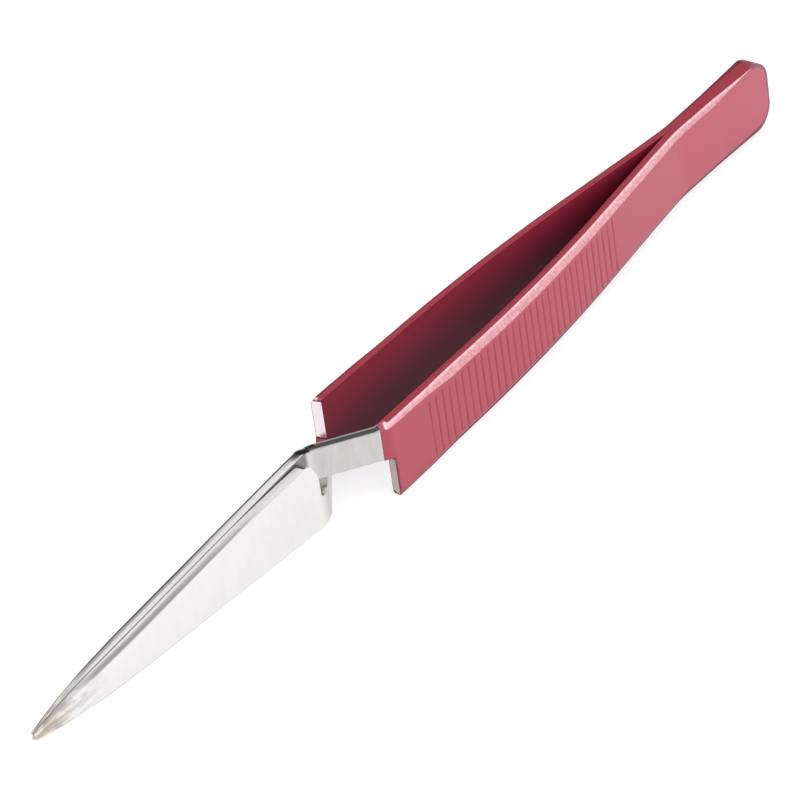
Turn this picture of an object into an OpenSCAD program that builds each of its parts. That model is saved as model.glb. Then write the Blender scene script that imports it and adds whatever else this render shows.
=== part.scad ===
// Cross-lock tweezers: two spring strips joined at the tail, crossing in front of the handles.
// Squeezing the handles together spreads the jaws, and letting go closes them.
// All lengths are in millimetres. The strips are bent about vertical lines, so each one is
// worked out along its mid-line, seen from above, and its outline is then cut from the side.

/* [Strip] */
// Overall length over the coated tail end
overall_l = 165; // [155:1:175]
// Thickness of the bare steel strip
strip_t = 1.45; // [1.2:0.05:1.6]
// Thickness of the coloured coat
coat_t = 0.05; // [0.04:0.01:0.1]

/* [Tail] */
// Length over which the two strips lie flat on each other
weld_l = 20.6; // [17:0.1:24]
// Coated height of the strips at the tail end
tail_h = 10.7; // [9.6:0.1:11.4]
// Radius of the corners at the tail end
tail_corner_r = 3.4; // [2:0.1:4.5]
// Diameter of a spot weld
weld_d = 4; // [3:0.1:5]
// Depth of a spot weld into each strip
weld_depth = 0.5; // [0.3:0.05:0.6]
// Distance from the tail end to the first spot weld
weld_inset = 6; // [5:0.1:7]
// Distance between the two spot welds
weld_spacing = 9; // [6:0.1:10]

/* [Handles] */
// Coated height of the handles at the shoulder
shoulder_h = 12; // [11.4:0.1:13]
// Radius of the bend where a strip leaves the other one
splay_bend_r = 30; // [20:1:50]
// Angle of a strip to the centre line behind the bow
splay_angle = 6.9; // [6.5:0.1:7.2]
// Straight length between the splay bend and the bow
splay_l = 19.8; // [18:0.1:21]
// Radius of the long bow of a handle
bow_r = 320; // [300:1:340]
// Angle of a handle to the centre line in front of the bow
front_angle = 0.6; // [0.2:0.1:1]
// Straight length between the bow and the shoulder bend
front_l = 18.2; // [16:0.1:21]
// Mid-line radius of the shoulder bend
shoulder_bend_r = 1.3; // [1:0.1:2]
// Width of the long outer bevel across the thickness
bevel_in = 0.55; // [0.4:0.05:0.8]
// Width of the long outer bevel down the side
bevel_down = 1.1; // [0.8:0.05:1.5]
// Radius of the corner under the shoulder
shoulder_corner_r = 0.6; // [0.3:0.1:1.2]

/* [Grip grooves] */
// Number of grooves across each handle
groove_count = 32; // [24:1:34]
// Distance from one groove to the next
groove_pitch = 1.5; // [1.3:0.1:1.5]
// Radius of the rounded bottom of a groove
groove_r = 0.35; // [0.25:0.05:0.6]
// Depth of a groove
groove_depth = 0.12; // [0.08:0.01:0.2]
// Distance from the shoulder bend to the first groove
groove_start = 7.8; // [6:0.1:9]
// Height of the grooves' upper ends over the middle of the strip
groove_top = 4.2; // [3.8:0.1:4.4]
// Depth of the grooves' lower ends under the middle of the strip
groove_bottom = 4.9; // [4:0.1:5]

/* [Straps] */
// Angle of a crossing strap to the centre line
strap_angle = 37.2; // [33:0.1:42]
// Clear height between the two straps where they cross
strap_gap = 1.2; // [0.6:0.1:1.4]
// Height of a strap's outer edge over the middle of the strip
strap_edge = 5.2; // [4.4:0.05:5.4]
// Length over which the handle's corner slopes down to the strap
shoulder_slope_l = 1.6; // [1:0.1:2.5]
// Distance that the coat reaches along the strap past the shoulder bend
coat_on_strap = 0.7; // [0.5:0.1:2]
// Radius in the inner corners of the notch and of its relief
notch_r = 0.6; // [0.3:0.05:0.8]
// Depth of the relief cut into the strap where the notch meets the jaw
notch_relief = 0.6; // [0.3:0.1:1]

/* [Jaws] */
// Mid-line radius of the bend between strap and jaw
jaw_bend_r = 3.5; // [2.5:0.1:5]
// Height of a jaw at its back end
jaw_h = 11.6; // [11:0.1:11.8]
// Height of a jaw where its straight taper ends and the nose begins
nose_h = 4.3; // [3.8:0.1:4.6]
// Length of the rounded nose
nose_l = 12; // [10:0.5:16]
// Height of the tip
tip_h = 0.9; // [0.7:0.1:1.2]
// Length over which the outside of a jaw is ground away towards the tip
grind_l = 22; // [16:1:28]
// Thickness that the grinding leaves at the tip
tip_t = 0.4; // [0.3:0.05:0.6]
// Height of the sloped corner at the back of a jaw
jaw_corner_h = 3.2; // [2:0.1:4]
// Length of the sloped corner at the back of a jaw
jaw_corner_l = 1.9; // [1:0.1:2.6]
// How far the edge over that corner curves in towards the back
jaw_curve_h = 0.6; // [0.2:0.1:0.9]
// Length over which it curves in
jaw_curve_l = 15; // [8:0.5:20]

/* [Flexing] */
// Distance from the splay bend to the place where a strip is taken to flex
flex_at = 15.8; // [13:0.1:17]
// How far the rounded knob on the end of an arm lies inside the strip's faces
knob_inset = 0.1; // [0.09:0.01:0.16]
// Radial clearance between the knob and its socket
knob_clearance = 0.05; // [0.03:0.01:0.08]
// Distance that the lips of the socket stand back from the flexing line
lip_setback = 0.4; // [0.3:0.05:0.45]

/* [Hidden] */
steel = [0.74, 0.73, 0.71];
weld_steel = [0.5, 0.5, 0.52];
red = [0.72, 0.36, 0.42];
$fn = 96;

// Mid-height of the strips over the surface they stand on
mid_z = shoulder_h / 2;
// Bends are drawn in facets of at most this many degrees and this length
facet_turn = 6.5;
facet_l = 3;
// Reach of the tools that cut right through, also where they lie askew to the whole length
through = overall_l / 4;

// A place on a mid-line is [point, heading]. A stretch is [length, 0] or [radius, turn], and a
// positive turn goes to the left of the heading.
function ahead(heading) = [cos(heading), sin(heading)];
function left_of(heading) = [-sin(heading), cos(heading)];
function stretch_l(stretch) = stretch[1] == 0 ? stretch[0] : stretch[0] * abs(stretch[1]) * PI / 180;
function part_of(stretch, share) =
    stretch[1] == 0 ? [stretch[0] * share, 0] : [stretch[0], stretch[1] * share];
function after(place, stretch) =
    stretch[1] == 0
    ? [place[0] + stretch[0] * ahead(place[1]), place[1]]
    : [place[0] + sign(stretch[1]) * stretch[0] * (left_of(place[1]) - left_of(place[1] + stretch[1])),
       place[1] + stretch[1]];
function place_after(place, stretches, count) =
    count == 0 ? place : after(place_after(place, stretches, count - 1), stretches[count - 1]);
function place_at(place, stretches, l, i = 0) =
    l <= stretch_l(stretches[i])
    ? after(place, part_of(stretches[i], l / stretch_l(stretches[i])))
    : place_at(after(place, stretches[i]), stretches, l - stretch_l(stretches[i]), i + 1);
function facets_of(stretch) =
    stretch[1] == 0 ? 1 : ceil(max(abs(stretch[1]) / facet_turn, stretch_l(stretch) / facet_l));
function stations(place, stretches) = concat([place], [
    for (i = [0 : len(stretches) - 1])
        for (k = [1 : facets_of(stretches[i])])
            after(place_after(place, stretches, i), part_of(stretches[i], k / facets_of(stretches[i])))]);
function beside(place, offset) = place[0] + offset * left_of(place[1]);
function backwards(list) = [for (i = [len(list) - 1 : -1 : 0]) list[i]];
function arc(centre, r, from, to, steps) =
    [for (i = [0 : steps]) centre + r * ahead(from + (to - from) * i / steps)];

// The near strip's mid-line from the tail end, where x counts from the tips
tail_place = [[overall_l - coat_t, -strip_t / 2], 180];
splay_bend = [splay_bend_r, splay_angle];
bow = [bow_r, front_angle - splay_angle];
handle_path = [[weld_l, 0], splay_bend, [splay_l, 0], bow, [front_l, 0],
               [shoulder_bend_r, -front_angle - strap_angle]];
handle_l = weld_l + stretch_l(splay_bend) + splay_l + stretch_l(bow) + front_l;
bend_start = place_after(tail_place, handle_path, 5);
strap_start = place_after(tail_place, handle_path, 6);
jaw_bend_rise = jaw_bend_r * (1 - cos(strap_angle));
strap_l = (strip_t / 2 - jaw_bend_rise - strap_start[0][1]) / sin(strap_angle);
front_path = [[strap_l, 0], [jaw_bend_r, strap_angle]];
jaw_start = place_after(strap_start, front_path, 2);
// The path runs a little past both ends, and the outline seen from the side trims it
overrun = 2;
strip_path = concat([[overrun, 0]], handle_path, front_path, [[jaw_start[0][0] + overrun, 0]]);
path_start = [tail_place[0] + [overrun, 0], tail_place[1]];
// The bevels follow the handle and run straight on past the shoulder bend
bevel_path = [[2 * overrun + weld_l, 0], splay_bend, [splay_l, 0], bow, [front_l + overrun, 0]];
bevel_start = [tail_place[0] + 2 * [overrun, 0], tail_place[1]];

// Where the outline of a strip changes, counted from the tips
shoulder_x = bend_start[0][0] - shoulder_bend_r * sin(strap_angle) / 2;
jaw_back_x = jaw_start[0][0];
strap_low = strap_gap / 2;

// Half height of the bare handle, which tapers towards the tail
shoulder_half = shoulder_h / 2 - coat_t;
tail_half = tail_h / 2 - coat_t;
function handle_half(x) =
    tail_half + (shoulder_half - tail_half) * (overall_l - x) / (overall_l - shoulder_x);

// Half height of a jaw: the nose is an arc that leaves the straight taper smoothly. The edge that
// ends in the sloped corner curves in towards it.
jaw_slope = (jaw_h - nose_h) / 2 / (jaw_back_x - nose_l);
nose_drop = nose_h / 2 - tip_h / 2 - jaw_slope * nose_l;
function jaw_half(x) =
    nose_h / 2 + jaw_slope * (x - nose_l) - nose_drop * pow(max(nose_l - x, 0) / nose_l, 2);
curve_start_x = jaw_back_x - jaw_corner_l - jaw_curve_l;
function jaw_low(x) = jaw_curve_h * pow(max(x - curve_start_x, 0) / jaw_curve_l, 1.3) - jaw_half(x);
curve_steps = 5;
curve_xs = [for (i = [0 : curve_steps]) curve_start_x + jaw_curve_l * i / curve_steps];
nose_steps = 8;
nose_xs = [for (i = [0 : nose_steps]) nose_l * i / nose_steps];

// The ground outside of a jaw is an arc that leaves the flat side smoothly
grind_drop = strip_t - tip_t;
grind_r = (grind_l * grind_l + grind_drop * grind_drop) / (2 * grind_drop);

// The line about which an arm is taken to turn, and the first groove, both along the mid-line
flex_place = place_at(tail_place, handle_path, weld_l + stretch_l(splay_bend) + flex_at);
knob_r = strip_t / 2 - knob_inset;
groove_first_l = handle_l - groove_start;

// From the tips and the mid-height to the part's own frame
module in_frame() translate([-overall_l / 2, 0, mid_z]) children();
// The far strip is the near one turned half a turn about the centre line
module far_side() rotate([180, 0, 0]) children();

// A flat outline, drawn as length and height, that runs through the thickness
module through_side() rotate([90, 0, 0]) linear_extrude(2 * through, center = true) children();

// The strip seen from above, with its faces moved out by the coat or by nothing
module band(grow) {
    places = stations(path_start, strip_path);
    side = strip_t / 2 + grow;
    polygon(concat([for (p = places) beside(p, side)], backwards([for (p = places) beside(p, -side)])));
}
module standing() translate([0, 0, -shoulder_h]) linear_extrude(2 * shoulder_h) children();

// The round end of the tail, from its upper edge to its lower one
function tail_end(grow) =
    let (end_x = overall_l - coat_t + grow, half = handle_half(overall_l) + grow,
         r = tail_corner_r + grow)
    concat(arc([end_x - r, half - r], r, 90, 0, 8), arc([end_x - r, r - half], r, 0, -90, 8));

// The rounded corner under the shoulder, from the lower edge to the shoulder's end
function shoulder_corner(grow) =
    let (r = shoulder_corner_r)
    arc([shoulder_x + r, r - handle_half(shoulder_x)], r + grow, 270, 180, 4);

// The round-ended relief in the corner between strap and jaw
module relief_outline() {
    translate([jaw_back_x, strap_low - notch_r]) square([2 * notch_r, notch_relief]);
    translate([jaw_back_x + notch_r, strap_low - notch_r + notch_relief]) circle(notch_r);
}

// A whole strip seen from the side, before the relief is cut
module full_outline() {
    polygon(concat(
        [for (x = nose_xs) [x, jaw_half(x)]],
        [[jaw_back_x - jaw_corner_l / 2, jaw_half(jaw_back_x)], [jaw_back_x + jaw_corner_l / 2, strap_edge],
         [shoulder_x - shoulder_slope_l, strap_edge], [shoulder_x, handle_half(shoulder_x)]],
        tail_end(0), shoulder_corner(0),
        arc([shoulder_x - notch_r, strap_low - notch_r], notch_r, 0, 90, 4),
        [[jaw_back_x, strap_low], [jaw_back_x, jaw_corner_h - jaw_half(jaw_back_x)]],
        backwards([for (x = curve_xs) [x, jaw_low(x)]]),
        backwards([for (x = nose_xs) [x, -jaw_half(x)]])));
}
module strip_outline() {
    difference() {
        full_outline();
        relief_outline();
    }
}

// The coat of a handle seen from the side, up to somewhere on the strap
module coat_outline() {
    on_strap = shoulder_x - 2 * coat_on_strap - overrun;
    polygon(concat(
        [[on_strap, strap_edge + coat_t], [shoulder_x - shoulder_slope_l, strap_edge + coat_t],
         [shoulder_x, handle_half(shoulder_x) + coat_t]],
        tail_end(coat_t), shoulder_corner(coat_t),
        [[shoulder_x, strap_low - coat_t], [on_strap, strap_low - coat_t]]));
}

// Cuts the two long bevels on the outer side of a handle
module bevel_cuts(grow) {
    side = strip_t / 2 + grow;
    places = stations(bevel_start, bevel_path);
    points = [for (p = places) let (half = handle_half(p[0][0]) + grow) each [
        [each beside(p, side - 2 * bevel_in), half + bevel_down],
        [each beside(p, side + bevel_in), half - 2 * bevel_down],
        [each beside(p, side + 2 * bevel_in), half + bevel_down]]];
    last = 3 * len(places) - 3;
    faces = concat([[0, 1, 2], [last + 2, last + 1, last]],
        [for (i = [0 : 3 : last - 3]) for (k = [0 : 2])
            [i + k, i + 3 + k, i + 3 + (k + 1) % 3, i + (k + 1) % 3]]);
    polyhedron(points, faces);
    mirror([0, 0, 1]) polyhedron(points, faces);
}

// Cuts the row of grip grooves across the outer side of a handle
module groove_cuts(grow) {
    for (i = [0 : groove_count - 1]) {
        here = place_at(tail_place, handle_path, groove_first_l - i * groove_pitch);
        axis = beside(here, strip_t / 2 + grow + groove_r - groove_depth);
        translate([axis[0], axis[1], -groove_bottom]) cylinder(r = groove_r, h = groove_top + groove_bottom);
    }
}

// Cuts the outside of a jaw to an arc towards the tip
module grind_cut() {
    difference() {
        translate([-overrun, 0, -through]) cube([grind_l + overrun, 2 * strip_t, 2 * through]);
        translate([grind_l, strip_t - grind_r, -through]) cylinder(r = grind_r, h = 2 * through, $fn = 2000);
    }
}

// All that lies further from the tail than the flexing line, moved back towards the tail by a set-back
module ahead_of_flex(setback) {
    translate([flex_place[0][0], flex_place[0][1], -through]) rotate([0, 0, flex_place[1]])
        translate([-setback, -through, 0]) cube([overall_l, 2 * through, 2 * through]);
}
module flex_round(r) {
    translate([flex_place[0][0], flex_place[0][1], -through]) cylinder(r = r, h = 2 * through);
}

// The spot welds on the meeting face
module weld_nuggets() {
    for (i = [0, 1])
        translate([overall_l - weld_inset - i * weld_spacing, 0, 0]) rotate([90, 0, 0])
            cylinder(d = weld_d, h = 2 * weld_depth, center = true);
}

// The part of a strip behind the flexing line, with the socket for its arm
module tail_leaf() {
    difference() {
        intersection() {
            standing() band(0);
            through_side() strip_outline();
        }
        bevel_cuts(0);
        ahead_of_flex(lip_setback);
        flex_round(knob_r + knob_clearance);
        weld_nuggets();
    }
}

// The part of a strip in front of the flexing line: handle, strap and jaw in one
module arm() {
    difference() {
        intersection() {
            standing() band(0);
            through_side() strip_outline();
            union() {
                ahead_of_flex(0);
                flex_round(knob_r);
            }
        }
        bevel_cuts(0);
        groove_cuts(0);
        grind_cut();
    }
}

// The coat in front of the flexing line, which ends on the strap and leaves the shoulder's end bare
module handle_coat() {
    difference() {
        intersection() {
            standing() band(coat_t);
            through_side() coat_outline();
            ahead_of_flex(0);
        }
        bevel_cuts(coat_t);
        groove_cuts(coat_t);
        arm();
        translate([strap_start[0][0], strap_start[0][1], -through]) rotate([0, 0, strap_start[1]])
            translate([coat_on_strap, -through, 0]) cube([overall_l, 2 * through, 2 * through]);
    }
}

// Where the two strips part, seen from above. A coat fills the narrow end of the gap.
function parting(grow) =
    let (r = splay_bend_r + strip_t / 2 + grow)
    [tail_place[0][0] - weld_l - r * sin(acos(1 - grow / r)), 0];

// Both strips at the tail, with the coat or bare
module tail_body(grow) {
    side = strip_t / 2 + grow;
    places = stations(path_start, [[overrun + weld_l, 0], splay_bend, [splay_l, 0]]);
    inner = [for (p = places) if (beside(p, -side)[1] < -coat_t / 10) beside(p, -side)];
    near = concat([for (p = places) beside(p, side)], backwards(inner));
    front_x = flex_place[0][0] - overrun;
    difference() {
        intersection() {
            standing() polygon(concat(near, [parting(grow)], backwards([for (p = near) [p[0], -p[1]]])));
            through_side() polygon(concat(
                [for (side = [-1, 1]) [front_x, side * (handle_half(front_x) + grow)]], tail_end(grow)));
        }
        bevel_cuts(grow);
        far_side() bevel_cuts(grow);
    }
}

// The coat over both strips behind the flexing line
module tail_skin() {
    difference() {
        tail_body(coat_t);
        tail_body(0);
        ahead_of_flex(lip_setback);
        far_side() ahead_of_flex(lip_setback);
    }
}

module near_tail_leaf() { color(steel) in_frame() tail_leaf(); }
module far_tail_leaf() { color(steel) in_frame() far_side() tail_leaf(); }
module tail_spot_welds() { color(weld_steel) in_frame() weld_nuggets(); }
module tail_coat() { color(red) in_frame() tail_skin(); }
module near_arm() { color(steel) in_frame() arm(); }
module far_arm() { color(steel) in_frame() far_side() arm(); }
module near_handle_coat() { color(red) in_frame() handle_coat(); }
module far_handle_coat() { color(red) in_frame() far_side() handle_coat(); }

near_tail_leaf();
far_tail_leaf();
tail_spot_welds();
tail_coat();
near_arm();
far_arm();
near_handle_coat();
far_handle_coat();
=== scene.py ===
# %% [markdown]
# These tweezers are two strips of spring steel, welded together at the tail. The strips cross between
# the handles and the jaws, so squeezing the handles opens the jaws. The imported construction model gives
# the overall size and the bodies that move, so the lesson starts by loading it.

# %% Load the frame
import math
import bpy
import bmesh
from mathutils import Vector, Matrix


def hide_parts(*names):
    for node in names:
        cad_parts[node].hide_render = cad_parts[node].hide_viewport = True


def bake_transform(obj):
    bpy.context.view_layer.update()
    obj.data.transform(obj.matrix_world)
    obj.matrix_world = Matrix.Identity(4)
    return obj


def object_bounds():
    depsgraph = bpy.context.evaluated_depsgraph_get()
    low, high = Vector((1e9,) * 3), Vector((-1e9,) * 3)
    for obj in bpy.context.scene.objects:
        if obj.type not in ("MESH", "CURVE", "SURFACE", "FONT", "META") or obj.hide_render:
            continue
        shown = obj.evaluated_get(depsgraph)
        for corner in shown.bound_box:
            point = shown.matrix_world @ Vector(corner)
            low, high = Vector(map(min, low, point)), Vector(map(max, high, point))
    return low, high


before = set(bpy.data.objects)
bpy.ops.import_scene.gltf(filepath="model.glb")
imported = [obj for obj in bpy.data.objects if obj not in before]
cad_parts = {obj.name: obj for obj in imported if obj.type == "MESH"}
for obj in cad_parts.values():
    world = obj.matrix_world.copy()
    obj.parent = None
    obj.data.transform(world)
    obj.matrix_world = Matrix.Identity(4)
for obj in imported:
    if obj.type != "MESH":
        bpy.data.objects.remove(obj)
CAD_BOX = [[float(v) for v in corner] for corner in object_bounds()]
LENGTH, OPENING, HEIGHT = [(high - low) * 1000 for low, high in zip(*CAD_BOX)]
print("The construction model measures, in mm:", round(LENGTH, 2), round(OPENING, 2), round(HEIGHT, 2))

# %% [markdown]
# Blender's edit tools have built-in thresholds of about a tenth of a millimetre when a unit is a metre.
# On a tool this small that would weld real detail together. So the strip is modelled on a bench where one
# unit is one millimetre, with x counted from the tips, and the finished mesh is shrunk to metres. The coat
# is a real skin over the steel, so the steel is smaller than the whole by its thickness.

# %% How thick, long and high the steel is, in millimetres
STEEL_T, COAT_T = 1.45, 0.05
TAIL_X = LENGTH - COAT_T
SHOULDER_HALF = HEIGHT / 2 - COAT_T
print("The steel ends at x =", round(TAIL_X, 2), "and is", round(2 * SHOULDER_HALF, 2), "mm high at most")

# %% [markdown]
# A strip is cut flat and bent afterwards. Its bends follow each other from the tail to the jaw: it parts
# from the other strip, bows back, turns in at the shoulder and straightens again for the jaw. Each
# stretch is a length and a turn in degrees, where a straight has no turn. The strap has the length that
# brings the jaw's gripping face to the centre plane.

# %% The stretches of a strip
WELD_L, NECK_L, FRONT_L = 20.6, 19.8, 18.2
# Angles to the centre line, in degrees: along the neck, at the handle's front and along the strap
SPLAY, FRONT, STRAP = 6.9, 0.6, 37.2
SPLAY_R, BOW_R, SHOULDER_R, JAW_BEND_R = 30, 320, 1.3, 3.5


def bend(radius, turn, lines):
    return {"l": radius * math.radians(abs(turn)), "turn": turn, "lines": lines}


def straight(length):
    return {"l": length, "turn": 0.0, "lines": 0}


def walk(stretches):
    """Where the mid-line ends, as x from its start and sideways place."""
    x = y = heading = 0.0
    for s in stretches:
        piece = s["l"] / max(s["lines"], 1)
        if s["lines"] == 0:
            x += piece * math.cos(heading)
            y += piece * math.sin(heading)
        for _ in range(s["lines"]):
            x += piece / 2 * math.cos(heading)
            y += piece / 2 * math.sin(heading)
            heading += math.radians(s["turn"] / s["lines"])
            x += piece / 2 * math.cos(heading)
            y += piece / 2 * math.sin(heading)
    return x, y


HANDLE = [straight(WELD_L), bend(SPLAY_R, SPLAY, 6), straight(NECK_L), bend(BOW_R, FRONT - SPLAY, 19),
          straight(FRONT_L), bend(SHOULDER_R, -FRONT - STRAP, 9)]
JAW_BEND = bend(JAW_BEND_R, STRAP, 9)
# The jaw bend turns the other way round its own start, so its rise is seen from the jaw
strap_rise = STEEL_T + walk(HANDLE)[1] - walk([JAW_BEND])[1]
STRAP_L = strap_rise / math.sin(math.radians(STRAP))
PATH = HANDLE + [straight(STRAP_L), JAW_BEND]
path_x, path_y = walk(PATH)
JAW_L = TAIL_X - path_x
print("Strap", round(STRAP_L, 2), "mm, jaw", round(JAW_L, 2), "mm, jaw's mid-line at", round(path_y, 3))

# %% [markdown]
# Everything is shaped in edit mode, as by hand: pick some corners or faces by their place, then extrude,
# move, scale or cut them. These helpers do the picking, so that each step below reads as one sentence.
# Two places count as the same when they lie within NEAR of each other.

# %% Helpers for picking and shaping
NEAR = 0.02


def deselect():
    bpy.ops.mesh.select_all(action="DESELECT")


def pick(kind, test):
    """Selects the corners, edges or faces for which test says yes, and counts them."""
    bpy.ops.mesh.select_mode(type=kind)
    deselect()
    mesh = bpy.context.edit_object.data
    work = bmesh.from_edit_mesh(mesh)
    things = {"VERT": work.verts, "EDGE": work.edges, "FACE": work.faces}[kind]
    chosen = [t for t in things if test(t)]
    for t in chosen:
        t.select_set(True)
    work.select_flush_mode()
    bmesh.update_edit_mesh(mesh)
    return len(chosen)


def middle(thing):
    return sum((v.co for v in thing.verts), Vector()) / len(thing.verts)


def at(value, place):
    return abs(value - place) < NEAR


def move(dx=0.0, dy=0.0, dz=0.0):
    bpy.ops.transform.translate(value=(dx, dy, dz))


def pull(dx=0.0, dy=0.0, dz=0.0):
    bpy.ops.mesh.extrude_region_move(TRANSFORM_OT_translate={"value": (dx, dy, dz)})


def stretch_height(factor):
    bpy.ops.transform.resize(value=(1, 1, factor), center_override=(0, 0, 0))


def cut(point, normal, where=lambda face: True):
    """Cuts a line across the picked faces, and takes nothing away."""
    pick("FACE", where)
    bpy.ops.mesh.bisect(plane_co=point, plane_no=normal, threshold=0.0001)


def merge():
    bpy.ops.mesh.select_all(action="SELECT")
    bpy.ops.mesh.remove_doubles(threshold=NEAR / 2)


# %% [markdown]
# The blank starts as a plain bar for the handle. Its front end is scaled up, because a handle is higher at
# the shoulder than at the tail, and the two corners of the tail are rounded with a bevel. Lines are then
# cut across it wherever the outline or the long bevels change.

# %% Outline of the flat handle
TAIL_HALF, TAIL_CORNER = 5.3, 3.4
# Heights over the middle at which the strap starts and at which it ends under the bevel
STRAP_LOW, STRAP_EDGE = 0.6, 5.2
# The handle under the strap ends this share of the way round the shoulder bend
END_SHARE = 0.47
STRETCHES = ["weld", "splay", "neck", "bow", "front", "shoulder", "strap", "jaw_bend"]
x_of = {}
run = 0.0
for name, stretch in zip(STRETCHES, PATH):
    x_of[name] = TAIL_X - run
    run += stretch["l"]
BACK_X = TAIL_X - run
TIP_X = BACK_X - JAW_L
END_X = x_of["shoulder"] - HANDLE[-1]["l"] * END_SHARE
HANDLE_SLOPE = (SHOULDER_HALF - TAIL_HALF) / (TAIL_X - END_X)
# Where the long bevel changes: place, width across the thickness, width down the side
BEVELS = [(END_X, 0.5, SHOULDER_HALF - STRAP_EDGE), (75.0, 0.5, 0.85), (81.0, 0.66, 1.35),
          (94.1, 0.66, 1.35), (135.0, 0.64, 1.1), (152.0, 0.42, 0.95), (160.6, 0.10, 0.12)]


def handle_half(x):
    """Half height of the handle, which gets higher evenly from the tail to the shoulder."""
    return TAIL_HALF + HANDLE_SLOPE * (TAIL_X - x)


def start_blank(name):
    size = (TAIL_X - END_X, STEEL_T, 2 * TAIL_HALF)
    bpy.ops.object.select_all(action="DESELECT")
    bpy.ops.mesh.primitive_cube_add(size=1, location=((TAIL_X + END_X) / 2, -STEEL_T / 2, 0), scale=size)
    strip = bpy.context.object
    strip.name = name
    bpy.ops.object.transform_apply(location=True, rotation=True, scale=True)
    bpy.ops.object.mode_set(mode="EDIT")
    pick("VERT", lambda v: at(v.co.x, END_X))
    stretch_height(SHOULDER_HALF / TAIL_HALF)
    pick("EDGE", lambda e: at(middle(e).x, TAIL_X) and at(middle(e).y, -STEEL_T / 2))
    bpy.ops.mesh.bevel(offset=TAIL_CORNER, segments=10, clamp_overlap=False)
    for x, _, _ in BEVELS[1:]:
        cut((x, 0, 0), (1, 0, 0))
    for z in (STRAP_EDGE, STRAP_LOW, -STRAP_EDGE):
        cut((0, 0, z), (0, 0, 1))
    return strip


print("Flat places of the bends:", {name: round(x, 1) for name, x in x_of.items()})

# %% [markdown]
# Both long edges on the outer side are chamfered. The chamfer isn't the same all along: it is narrow at
# the shoulder, widest along the grip and fades towards the tail. Moving the corners at the few cut lines
# gives exactly that, and everything between them stays straight.

# %% Long bevels on the outer side
def bevel_handle():
    for x, across, down in BEVELS:
        half = handle_half(x)
        for side in (-1, 1):
            pick("VERT", lambda v: at(v.co.x, x) and at(v.co.z, side * STRAP_EDGE))
            move(dz=side * (half - down - STRAP_EDGE))
            pick("VERT", lambda v: at(v.co.x, x) and at(v.co.z, side * half) and at(v.co.y, -STEEL_T))
            move(dy=across)
    merge()
    print("Faces of the handle before the strap:", pick("FACE", lambda f: True))


# %% [markdown]
# Only the upper part of the handle's end goes on as the strap. A small relief is left under it where it
# meets the jaw. There it grows again to the full height: down through the notch and a little up, each
# with a sloped corner at the back.

# %% Strap and back of the jaw
SHOULDER_SLOPE, NOTCH_R, NOTCH_RELIEF = 1.6, 0.6, 0.6
# Half heights of the jaw at its back, at its nose and at its tip, and the nose's length
JAW_BACK_HALF, NOSE_HALF, TIP_HALF, NOSE_L = 5.8, 2.15, 0.45, 12.0
CORNER_L, CORNER_H = 1.9, 3.2
# Lines this far inside the jaw's edges keep the bend of its outline away from its middle
JAW_RIM = 1.3
# A face looks along an axis when its normal has more than this share along it
FACING = 0.9
RELIEF_X, RELIEF_TOP = BACK_X + 2 * NOTCH_R, STRAP_LOW + NOTCH_RELIEF
JAW_SLOPE = (JAW_BACK_HALF - NOSE_HALF) / (JAW_L - NOSE_L)
NOSE_DROP = NOSE_HALF - TIP_HALF - JAW_SLOPE * NOSE_L


def taper_half(x):
    """Half height of the jaw's straight taper at x from the tip."""
    return NOSE_HALF + JAW_SLOPE * (x - NOSE_L)


def jaw_half(x):
    """Half height of a jaw at x from the tip: the straight taper, less an arc over the nose."""
    return taper_half(x) - NOSE_DROP * (max(NOSE_L - x, 0) / NOSE_L) ** 2


def faces_front(face, x):
    return at(middle(face).x, x) and face.normal.x < -FACING


def pull_strap():
    slope_x = END_X - SHOULDER_SLOPE
    pick("FACE", lambda f: faces_front(f, END_X) and middle(f).z > STRAP_LOW)
    pull(dx=-SHOULDER_SLOPE)
    pick("VERT", lambda v: at(v.co.x, slope_x) and at(v.co.z, SHOULDER_HALF) and v.co.y < -NEAR)
    move(dy=-BEVELS[0][1])
    pick("VERT", lambda v: at(v.co.x, slope_x) and at(v.co.z, SHOULDER_HALF))
    move(dz=STRAP_EDGE - SHOULDER_HALF)
    merge()
    pick("FACE", lambda f: faces_front(f, slope_x))
    pull(dx=RELIEF_X - slope_x)
    cut((0, 0, RELIEF_TOP), (0, 0, 1), lambda f: middle(f).x < END_X - NEAR)
    pick("FACE", lambda f: faces_front(f, RELIEF_X) and middle(f).z > RELIEF_TOP)
    pull(dx=BACK_X - RELIEF_X)
    pull(dx=-CORNER_L)


def grow_jaw_back():
    half = jaw_half(JAW_L - CORNER_L)

    def in_block(face):
        return BACK_X - CORNER_L < middle(face).x < BACK_X
    pick("FACE", lambda f: in_block(f) and f.normal.z < -FACING)
    pull(dz=-RELIEF_TOP - half)
    pick("FACE", lambda f: in_block(f) and f.normal.z > FACING)
    pull(dz=half - STRAP_EDGE)
    pick("VERT", lambda v: at(v.co.x, BACK_X) and at(v.co.z, half))
    move(dz=STRAP_EDGE - half)
    pick("VERT", lambda v: at(v.co.x, BACK_X) and at(v.co.z, -half))
    move(dz=CORNER_H)
    merge()
    for z in (half - JAW_RIM, -half + JAW_RIM):
        cut((0, 0, z), (0, 0, 1), lambda f: middle(f).x < BACK_X + NEAR)
    print("Back of the jaw at x =", round(BACK_X, 2), "with half height", round(half, 2))


# %% [markdown]
# The jaw is pulled out of its own back end, one step at a time. Each step is scaled in height to the
# taper, and its outer side moves in where the jaw is ground thinner towards the tip.

# %% Jaw
# The tip is ground down to TIP_T over this length, and the lower edge curves in over the other one
GRIND_L, TIP_T = 22.0, 0.4
CURVE_L, CURVE_H, CURVE_POWER = 15.0, 0.6, 1.3
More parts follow.
